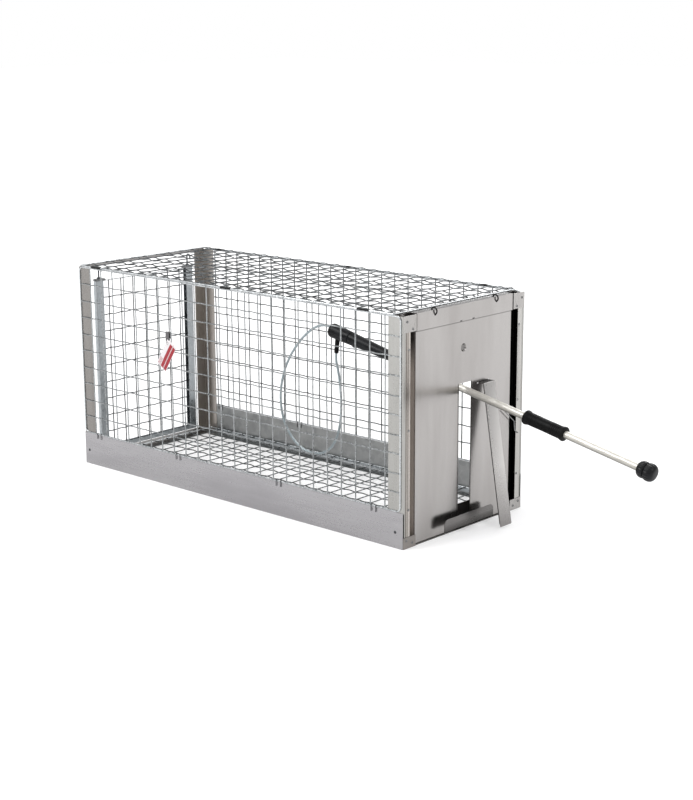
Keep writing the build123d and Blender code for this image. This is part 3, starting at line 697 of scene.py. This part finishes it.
def wire_panels():
    side_u = bars_of("front_mesh", 0, 25)
    side_v = bars_of("front_mesh", 2, 10)
    for name, node in (("front_wires", "front_mesh"), ("rear_wires", "rear_mesh")):
        y = middle_of(node, 1)
        way = 1 if y > 0 else -1
        wire_panel(name, node, "cage", zinc_wire if way < 0 else shaded_wire,
                   lambda u, v, out, y=y, way=way: Vector((u, y + way * out, v)),
                   side_u, side_v, (0.0006, 0.0), (0.0021, 0.013))
    roof_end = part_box("roof_mesh")[1].x - HALF_BAR
    roof_u = [u for u in side_u if u < roof_end - 0.01] + [roof_end]
    z = middle_of("roof_mesh", 2)
    wire_panel("roof_wires", "roof_mesh", "cage", shaded_wire, lambda u, v, out: Vector((u, v, z + out)),
               roof_u, bars_of("roof_mesh", 1, 10), (0.0026, 0.0010), (0.0019, 0.008), edge_rows=True)
    z_floor = middle_of("floor_mesh", 2)
    wire_panel("floor_wires", "floor_mesh", "cage", shaded_wire,
               lambda u, v, out: Vector((u, v, z_floor + out)),
               bars_of("floor_mesh", 0, 24), bars_of("floor_mesh", 1, 10), (0.0012, 0.0006),
               (0.0019, 0.006))
    x = middle_of("squeeze_mesh", 0)
    wire_panel("squeeze_wires", "squeeze_mesh", "squeeze_panel", shaded_wire,
               lambda u, v, out: Vector((x + out, u, v)),
               bars_of("squeeze_mesh", 1, 8), bars_of("squeeze_mesh", 2, 10), (0.0008, 0.0),
               (0.0017, 0.004))


# ---- clips, ties and fasteners -----------------------------------------
CLIP_CELLS = (1, 12, 22)
CLIP_LENGTH = 0.040
CLIP_Y = 0.246
CLIP_HALF = 0.0022
CLIP_FOOT = 0.596
CLIP_TOP = 0.6002


def arch(x, near, far, foot, top):
    """Corners of a strip that goes up, across and down again."""
    return [Vector((x, near, foot)), Vector((x, near, top)), Vector((x, far, top)),
            Vector((x, far, foot))]


def roof_clips(side, side_name):
    """Channel clips snapped down over the roof's border wire."""
    shape = Shape()
    columns = bars_of("front_mesh", 0, 25)
    for cell in CLIP_CELLS:
        x = (columns[cell] + columns[cell + 1]) / 2
        corners = arch(x, side * CLIP_Y - CLIP_HALF, side * CLIP_Y + CLIP_HALF, CLIP_FOOT, CLIP_TOP)
        shape.sweep(round_corners(corners, 0.0012), rounded_bar(CLIP_LENGTH, 0.0006, 0.0002),
                    LENGTHWISE)
    shape.piece(f"{side_name}_clips", "cage", black_enamel, "black_clip", f"{side_name}_roof_clips")


TIE_PAIRS = (-1.167, -0.819, -0.420, -0.081)
TIE_SPREAD = 0.008
TIE_Y = (0.2454, 0.2496)
TIE_FOOT = 0.083
TIE_TOP = 0.1005


def rail_ties(side, side_name):
    """Pairs of bent strips that hold a side panel's bottom wire down on the rail."""
    shape = Shape()
    inner, outer = side * TIE_Y[0], side * TIE_Y[1]
    for pair in TIE_PAIRS:
        for x in (pair - TIE_SPREAD, pair + TIE_SPREAD):
            corners = arch(x, inner, outer, TIE_FOOT, TIE_TOP)
            shape.sweep(round_corners(corners, 0.0018), rounded_bar(0.0022, 0.0011, 0.0004),
                        LENGTHWISE)
    shape.piece(f"{side_name}_ties", "cage", dark_zinc, "dark_tie", f"{side_name}_rail_ties")


def button_head(shape, centre, axis, radius, height, recess=True):
    """Domed fastener head, with a small round recess or closed."""
    profile = [(-0.0006, radius * 0.98), (0.0, radius), (height * 0.35, radius * 0.96),
               (height * 0.7, radius * 0.80), (height * 0.92, radius * 0.60)]
    if recess:
        profile += [(height, radius * 0.48), (height * 0.96, radius * 0.42),
                    (height * 0.31, radius * 0.38), (height * 0.3, radius * 0.05)]
    else:
        profile += [(height, radius * 0.28)]
    shape.lathe(profile, centre, axis, axis.orthogonal().normalized(), 24)


DOOR_END = 0.015
GUSSET_FACE = 0.0165
TOP_SCREWS = ((0.234, 0.581), (0.212, 0.561))
BASE_SCREWS = ((0.234, 0.021), (0.212, 0.012))
GUIDE_RIVET_Y = 0.2255
GUIDE_RIVETS_Z = (0.100, 0.305, 0.510)
RAIL_RIVETS_X = (-1.217, -0.010)
RAIL_FACE = 0.2475


def fasteners():
    screws = Shape()
    rivets = Shape()
    rail_heads = Shape()
    for side in (-1, 1):
        for y, z in TOP_SCREWS + BASE_SCREWS:
            button_head(screws, Vector((GUSSET_FACE, side * y, z)), LENGTHWISE, 0.0036, 0.0017)
        for z in GUIDE_RIVETS_Z:
            button_head(rivets, Vector((DOOR_END, side * GUIDE_RIVET_Y, z)), LENGTHWISE, 0.0034,
                        0.0015, recess=False)
        for x in RAIL_RIVETS_X:
            button_head(rail_heads, Vector((x, side * RAIL_FACE, 0.042)), ACROSS * side, 0.0040,
                        0.0016)
    screws.piece("gusset_button_screws", "cage", dull_zinc, "fastener", "gusset_screws")
    rivets.piece("guide_dome_rivets", "cage", dull_zinc, "fastener", "guide_rivets")
    rail_heads.piece("rail_button_screws", "cage", dark_zinc, "fastener", "rail_rivets")


# ---- tag ----------------------------------------------------------------
TAG_PLACE = (-0.851, -0.253, 0.382)
TAG_WIDTH = 0.042
TAG_LENGTH = 0.088
TAG_TILT = math.radians(33)
TAG_HOLE = (-0.846, 0.417)
STRAP_Y = (-0.252, -0.245)
STRAP_TOP = 0.4491
EYELET = 0.0036


def tag():
    """Stiff card with a punched hole, bowed a little, on a looped webbing strap."""
    shape = Shape()
    corners = [Vector((sx * TAG_WIDTH / 2, 0, sz * TAG_LENGTH / 2))
               for sx, sz in ((-1, -1), (1, -1), (1, 1), (-1, 1))]
    outline = round_corners(corners, 0.004, closed=True, steps=5)
    rings = []
    for size, depth in ((0.02, -0.0004), (0.35, -0.0004), (0.7, -0.0004), (0.985, -0.0004),
                        (1.0, -0.0002), (1.0, 0.0002), (0.985, 0.0004), (0.7, 0.0004),
                        (0.35, 0.0004), (0.02, 0.0004)):
        rings.append([Vector((p.x * size, depth + 0.0009 * (p.z * size / 0.04) ** 2, p.z * size))
                      for p in outline])
    shape.rings(rings)
    made = shape.piece("tag", "cage", card, "tag_paper", "tag_card")
    made.rotation_euler = (0, TAG_TILT, 0)
    made.location = TAG_PLACE
    bpy.context.view_layer.update()

    eyelet = Shape()
    hole_x, hole_z = TAG_HOLE
    ring = [Vector((hole_x + EYELET * math.cos(a), -0.2526, hole_z + EYELET * math.sin(a)))
            for a in even(0, math.tau * 19 / 20, 19)]
    eyelet.sweep(ring, circle(0.0007, 8), ACROSS, closed=True)
    eyelet.piece("tag_eyelet", "cage", dull_zinc, "fastener")

    strap = Shape()
    front, back = STRAP_Y
    loop = [Vector((hole_x, front, 0.411)), Vector((hole_x, front, STRAP_TOP)),
            Vector((hole_x, back, STRAP_TOP)), Vector((hole_x, back, 0.430))]
    strap.sweep(round_corners(loop, 0.003), rounded_bar(0.015, 0.0008, 0.0003), LENGTHWISE)
    strap.piece("tag_webbing", "cage", tape, "tag_webbing", "tag_strap")


# ---- slot cover ---------------------------------------------------------
COVER_LENGTH = 0.381
COVER_WIDTH = 0.048
COVER_TIP = 0.002        # radius of the foot's corners
COVER_BEND = 0.03025     # X of the sheet's middle where the neck turns into the leg


def slot_cover():
    """Bent strip that hooks into the slit: a short lip, a level neck and a long leaning leg."""
    low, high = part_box("slot_cover")
    y = (low.y + high.y) / 2
    hook_x = low.x + 0.00075
    down = Vector((math.sin(COVER_LEAN), 0, -math.cos(COVER_LEAN)))
    inward = Vector((-math.cos(COVER_LEAN), 0, -math.sin(COVER_LEAN)))
    knee = Vector((COVER_BEND, y, NECK_HEIGHT))
    foot = knee + down * COVER_LENGTH
    corners = [Vector((hook_x, y, high.z)), Vector((hook_x, y, NECK_HEIGHT)), knee, foot]
    path = round_corners(corners, 0.0016)
    tips = even(0.0, COVER_TIP, 6)
    path = path[:-1] + [foot - down * (COVER_TIP - step) for step in tips]
    widths = [1.0] * (len(path) - len(tips))
    for step in tips:
        cut = COVER_TIP - math.sqrt(max(0.0, COVER_TIP ** 2 - step ** 2))
        widths.append(1 - cut * 2 / COVER_WIDTH)
    shape = Shape()
    shape.sweep(path, rounded_bar(COVER_WIDTH, 0.0015, 0.0004), ACROSS, widths=widths)
    for side in (-1, 1):
        edge = ACROSS * (side * (COVER_WIDTH / 2 - 0.0006)) + inward * 0.0008
        run = [knee + down * 0.003 + edge, foot - down * 0.008 + edge]
        shape.sweep(run, rounded_bar(0.0012, 0.0029, 0.0003), ACROSS)
    shape.piece("slot_cover_strip", "slot_cover", cover_steel, "sheet_steel", "slot_cover")


# ---- squeeze panel ------------------------------------------------------
PANEL_Y = -0.005
CAP_MIDDLE = 0.174
HOOK_ROD_Y = 0.176
HOOK_ROD = 0.0025        # radius of the rods


def squeeze_fittings():
    """Rounded end caps on the panel's channels, and the rods that hook it to the roof."""
    low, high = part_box("squeeze_top_caps")
    x = (low.x + high.x) / 2
    caps = Shape()
    rods = Shape()
    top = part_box("squeeze_hook_rods")[1].z
    for side in (-1, 1):
        middle = Vector((x, PANEL_Y + side * CAP_MIDDLE, low.z))
        profile = [(0.0, 0.96), (0.0006, 1.0), (0.0040, 1.0), (0.0054, 0.95), (0.006, 0.85)]
        rings = []
        for rise, size in profile:
            corners = [middle + Vector((sx * 0.009 * size, sy * 0.018 * size, rise))
                       for sx, sy in ((-1, -1), (1, -1), (1, 1), (-1, 1))]
            rings.append(round_corners(corners, 0.003, closed=True, steps=4))
        caps.rings(rings)
        y = PANEL_Y + side * HOOK_ROD_Y
        hook = [Vector((x, y, high.z - 0.001)), Vector((x, y, top - HOOK_ROD)),
                Vector((x + 0.013, y, top - HOOK_ROD)), Vector((x + 0.013, y, top - 0.014))]
        rods.sweep(round_corners(hook, 0.0055), circle(HOOK_ROD, 12), ACROSS)
        collar = [(0.0, 0.0052), (0.0005, 0.0058), (0.0040, 0.0058), (0.0046, 0.005)]
        rods.lathe(collar, Vector((x, y, high.z - 0.0005)), UP, LENGTHWISE, 6)
    caps.piece("squeeze_end_caps", "squeeze_panel", dull_zinc, "galvanised_channel",
               "squeeze_top_caps")
    rods.piece("squeeze_roof_hooks", "squeeze_panel", shaded_wire, "galvanised_wire",
               "squeeze_hook_rods")


# ---- catch pole ---------------------------------------------------------
HEAD_TIP = -0.479
HEAD_END = -0.226
HEAD_TIP_RADIUS = 0.0205
HEAD_END_RADIUS = 0.0124
GROOVE_AT = -0.404
GRIP_START = 0.197
GRIP_END = 0.321
COLLAR_START = 0.537
KNOB_START = 0.5595
SLEEVE_FOOT = Vector((-0.440, 0.004, 0.405))
SLEEVE_WAY = Vector((0.124, 0, 0.992)).normalized()
CABLE = 0.0035           # radius of the noose cable
STRAND_DEPTH = 0.00016   # depth of the grooves between its strands
CABLE_EXIT = POLE_ORIGIN + POLE_WAY * HEAD_TIP + POLE_RISE * 0.007


def head_radius(distance):
    """Radius of the tapered head at a distance along the pole."""
    share = (distance - HEAD_TIP) / (HEAD_END - HEAD_TIP)
    return HEAD_TIP_RADIUS + (HEAD_END_RADIUS - HEAD_TIP_RADIUS) * share


def on_pole(distance, rise=0.0):
    return POLE_ORIGIN + POLE_WAY * distance + POLE_RISE * rise


def snare_head():
    """Tapered head moulding with a rounded nose, a groove, a parting line and two bosses."""
    shape = Shape()
    profile = [(HEAD_TIP, 0.002), (HEAD_TIP, 0.0095), (HEAD_TIP + 0.0008, 0.0140),
               (HEAD_TIP + 0.0024, 0.0176), (HEAD_TIP + 0.0052, 0.0195), (HEAD_TIP + 0.0090, 0.0201)]
    for distance in even(HEAD_TIP + 0.014, GROOVE_AT - 0.004, 6):
        profile.append((distance, head_radius(distance)))
    body = head_radius(GROOVE_AT)
    profile += [(GROOVE_AT - 0.0026, body), (GROOVE_AT - 0.0018, body - 0.0004),
                (GROOVE_AT - 0.0014, body - 0.0016), (GROOVE_AT + 0.0014, body - 0.0016),
                (GROOVE_AT + 0.0018, body - 0.0005), (GROOVE_AT + 0.0026, body - 0.0001)]
    for distance in even(GROOVE_AT + 0.006, HEAD_END - 0.006, 12):
        profile.append((distance, head_radius(distance)))
    profile += [(HEAD_END - 0.0015, HEAD_END_RADIUS - 0.0001), (HEAD_END, HEAD_END_RADIUS - 0.0011),
                (HEAD_END, 0.0096)]

    def parting_line(distance, angle):
        """A low seam along both sides of the moulding."""
        nearest = min(abs(angle - math.pi / 2), abs(angle - math.pi * 3 / 2))
        return 0.00035 if nearest < 0.03 and HEAD_TIP + 0.004 < distance < HEAD_END else 0.0

    shape.lathe(profile, POLE_ORIGIN, POLE_WAY, POLE_RISE, 96, wobble=parting_line)
    boss_at = GROOVE_AT + 0.016
    depth = head_radius(boss_at)
    for distance, radius in ((boss_at, 0.0066), (boss_at - 0.052, 0.0088)):
        boss = [(depth - 0.004, radius + 0.0016), (depth - 0.0006, radius + 0.0006),
                (depth + 0.0010, radius), (depth + 0.0014, radius - 0.0010), (depth + 0.0014, 0.001)]
        shape.lathe(boss, on_pole(distance), -POLE_RISE, POLE_WAY, 28)
    nose = [(0.0, 0.0064), (0.0016, 0.0060), (0.0022, 0.0052), (0.0022, 0.0036)]
    shape.lathe(nose, on_pole(HEAD_TIP, 0.007), -POLE_WAY, POLE_RISE, 28)
    shape.piece("snare_head_moulding", "catch_pole", black_plastic, "black_plastic", "snare_head",
                sharp=28)

    screw = Shape()
    grip = [(depth - 0.002, 0.0038), (depth + 0.0003, 0.0038), (depth + 0.0006, 0.0040),
            (depth + 0.0026, 0.0040), (depth + 0.0030, 0.0036), (depth + 0.0030, 0.0018),
            (depth + 0.0012, 0.0016), (depth + 0.0012, 0.0002)]
    screw.lathe(grip, on_pole(boss_at), -POLE_RISE, POLE_WAY, 36,
                wobble=lambda distance, angle: 0.00012 * math.cos(18 * angle)
                if distance > depth + 0.0005 else 0.0)
    screw.piece("head_knurled_screw", "catch_pole", dark_zinc, "fastener_dark", "head_clamp_screw")

    sleeve = Shape()
    ribs = [(-0.0006, 0.0040), (0.0, 0.0052), (0.0012, 0.0064)]
    for k in range(5):
        start = 0.0035 + 0.0042 * k
        ribs += [(start, 0.0065), (start + 0.0007, 0.0059), (start + 0.0019, 0.0059),
                 (start + 0.0026, 0.0065)]
    ribs += [(0.028, 0.0065), (0.042, 0.0066)]
    sleeve.lathe(ribs, SLEEVE_FOOT, SLEEVE_WAY, ACROSS, 32)
    sleeve.piece("ribbed_sleeve", "catch_pole", black_rubber, "black_rubber", "cable_sleeve", sharp=40)


def pole_grip():
    """Rubber hand grip: flared lips, ribbed ends and a smooth middle."""
    ends = [(0.0, 0.0098), (0.0, 0.0160), (0.0008, 0.0176), (0.0028, 0.0187), (0.0050, 0.0188),
            (0.0085, 0.0182), (0.0125, 0.0168)]
    for k in range(5):
        start = 0.0150 + 0.0056 * k
        ends += [(start, 0.0164), (start + 0.0008, 0.0154), (start + 0.0024, 0.0154),
                 (start + 0.0032, 0.0164)]
    ends.append((0.047, 0.0161))
    profile = [(GRIP_START + distance, radius) for distance, radius in ends]
    profile += [(GRIP_END - distance, radius) for distance, radius in reversed(ends)]
    shape = Shape()
    shape.lathe(profile, POLE_ORIGIN, POLE_WAY, POLE_RISE, 56)
    shape.piece("grip_rubber", "catch_pole", black_rubber, "black_rubber", "pole_grip", sharp=40)


def pole_end():
    """Fixed collar at the end of the tube, and the pull knob that draws the noose."""
    def fluted(start, end, depth, flutes):
        return lambda distance, angle: (-depth * (0.5 + 0.5 * math.cos(flutes * angle))
                                        if start < distance < end else 0.0)

    collar = Shape()
    profile = [(0.0, 0.0097), (0.0, 0.0116), (0.0012, 0.0140), (0.0035, 0.0172), (0.0070, 0.0194),
               (0.0100, 0.0206), (0.0150, 0.0214), (0.0190, 0.0210), (0.0212, 0.0200),
               (0.0220, 0.0188), (0.0220, 0.0056)]
    collar.lathe(profile, on_pole(COLLAR_START), POLE_WAY, POLE_RISE, 96,
                 wobble=fluted(0.006, 0.0205, 0.0009, 16))
    collar.piece("end_collar", "catch_pole", black_plastic, "black_plastic", "pole_end_collar")

    knob = Shape()
    profile = [(0.0001, 0.0052), (0.0001, 0.0186), (0.0009, 0.0200), (0.0027, 0.0214),
               (0.0047, 0.0221), (0.0095, 0.0224), (0.0140, 0.0224), (0.0175, 0.0212),
               (0.0205, 0.0194), (0.0230, 0.0168), (0.0247, 0.0134), (0.0254, 0.0094),
               (0.0254, 0.001)]
    knob.lathe(profile, on_pole(KNOB_START), POLE_WAY, POLE_RISE, 120,
               wobble=fluted(0.002, 0.020, 0.0012, 20))
    knob.piece("fluted_knob", "noose_pull", black_plastic, "black_plastic", "pull_knob")


# ---- noose cable --------------------------------------------------------
CABLE_ROUTE_Y = 0.004
CABLE_LOOP = [(-0.514, 0.471), (-0.553, 0.445), (-0.588, 0.411), (-0.619, 0.371), (-0.644, 0.322),
              (-0.658, 0.268), (-0.657, 0.214), (-0.639, 0.164), (-0.605, 0.125), (-0.562, 0.104),
              (-0.514, 0.102), (-0.470, 0.122), (-0.440, 0.160), (-0.426, 0.207), (-0.422, 0.258),
              (-0.425, 0.309), (-0.433, 0.356)]


def smooth_line(points, name):
    """Points along a smooth spline that has the given points as its control points."""
    data = bpy.data.curves.new(name, "CURVE")
    data.dimensions = "3D"
    data.resolution_u = 24
    spline = data.splines.new("NURBS")
    spline.points.add(len(points) - 1)
    for target, point in zip(spline.points, points):
        target.co = (*point, 1)
    spline.order_u = 3
    spline.use_endpoint_u = True
    guide = bpy.data.objects.new(name, data)
    mesh = bpy.data.meshes.new_from_object(guide)
    line = [vertex.co.copy() for vertex in mesh.vertices]
    bpy.data.meshes.remove(mesh)
    bpy.data.objects.remove(guide)
    return line


def snare_cable():
    """The noose: one loop from the head's tip to the sleeve, with the rope's lay showing."""
    route = [CABLE_EXIT, CABLE_EXIT - POLE_WAY * 0.020]
    route += [Vector((x, CABLE_ROUTE_Y, z)) for x, z in CABLE_LOOP]
    route += [SLEEVE_FOOT - SLEEVE_WAY * 0.020, SLEEVE_FOOT]
    line = smooth_line(route, "noose_line")
    sides = 24
    strands = 6
    lay = 0.030
    rings = []
    travelled = 0.0
    for i, here in enumerate(line):
        before = line[max(i - 1, 0)]
        after = line[min(i + 1, len(line) - 1)]
        travelled += (here - before).length
        tangent = (after - before).normalized()
        rise = ACROSS.cross(tangent).normalized()
        ring = []
        for k in range(sides):
            angle = math.tau * k / sides
            twist = strands * (angle - math.tau * travelled / lay)
            reach = CABLE - STRAND_DEPTH * (0.5 - 0.5 * math.cos(twist))
            ring.append(here + (ACROSS * math.cos(angle) + rise * math.sin(angle)) * reach)
        rings.append(ring)
    shape = Shape()
    shape.rings(rings)
    cable = shape.piece("noose_cable", "catch_pole", grey_sheath, "steel_cable", "snare_cable",
                        sharp=60)
    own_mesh(cable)


# ---- studio -------------------------------------------------------------
def area_light(name, place, aim, size, power, colour=(1, 1, 1)):
    data = bpy.data.lights.new(name, "AREA")
    data.shape = "RECTANGLE"
    data.size, data.size_y = size
    data.energy = power
    data.color = colour
    light = bpy.data.objects.new(name, data)
    light.location = place
    light.rotation_mode = "QUATERNION"
    light.rotation_quaternion = (Vector(aim) - Vector(place)).to_track_quat("-Z", "Y")
    light.visible_camera = False
    bpy.context.scene.collection.objects.link(light)


def studio_world():
    """Pale surroundings, brighter overhead, that the camera itself sees as plain white."""
    world = bpy.data.worlds.new("studio")
    world.use_nodes = True
    tree = world.node_tree
    way = add_node(tree, "TexCoord", {}, output=0)
    height = add_node(tree, "SeparateXYZ", {"Vector": way}, output=2)
    ramp = add_node(tree, "ValToRGB", {"Fac": height}).node
    elements = ramp.color_ramp.elements
    elements.new(0.25)
    for element, (place, grey) in zip(elements, ((0.0, 0.36), (0.22, 0.55), (0.8, 0.95))):
        element.position = place
        element.color = (grey, grey, grey * 1.01, 1)
    seen = add_node(tree, "LightPath", {}, output=0)
    colour = add_node(tree, "Mix", {0: seen, 6: ramp.outputs[0], 7: (1.0, 1.0, 1.0, 1)}, output=2,
                      data_type="RGBA")
    tree.links.new(colour, tree.nodes["Background"].inputs["Color"])
    bpy.context.scene.world = world


def studio():
    size = 30.0
    mesh = bpy.data.meshes.new("floor")
    mesh.from_pydata([(-size, -size, 0), (size, -size, 0), (size, size, 0), (-size, size, 0)], [],
                     [(0, 1, 2, 3)])
    mesh.materials.append(painted_floor("pale_floor"))
    floor = bpy.data.objects.new("floor", mesh)
    floor.location.z = -0.0004
    bpy.context.scene.collection.objects.link(floor)
    aim = (-0.5, 0, 0.3)
    area_light("key", (-2.2, -3.4, 4.2), aim, (3.0, 2.2), 170)
    area_light("fill", (4.4, -0.6, 2.8), aim, (2.4, 2.4), 60)
    area_light("back", (-1.0, 4.2, 3.4), aim, (3.2, 1.6), 90)
    studio_world()
    bpy.context.scene.view_settings.view_transform = "Standard"


place_camera()
snare_cable()
dress_kept_nodes()
wire_panels()
for side, side_name in ((-1, "front"), (1, "rear")):
    roof_clips(side, side_name)
    rail_ties(side, side_name)
fasteners()
tag()
slot_cover()
squeeze_fittings()
snare_head()
pole_grip()
pole_end()
studio()
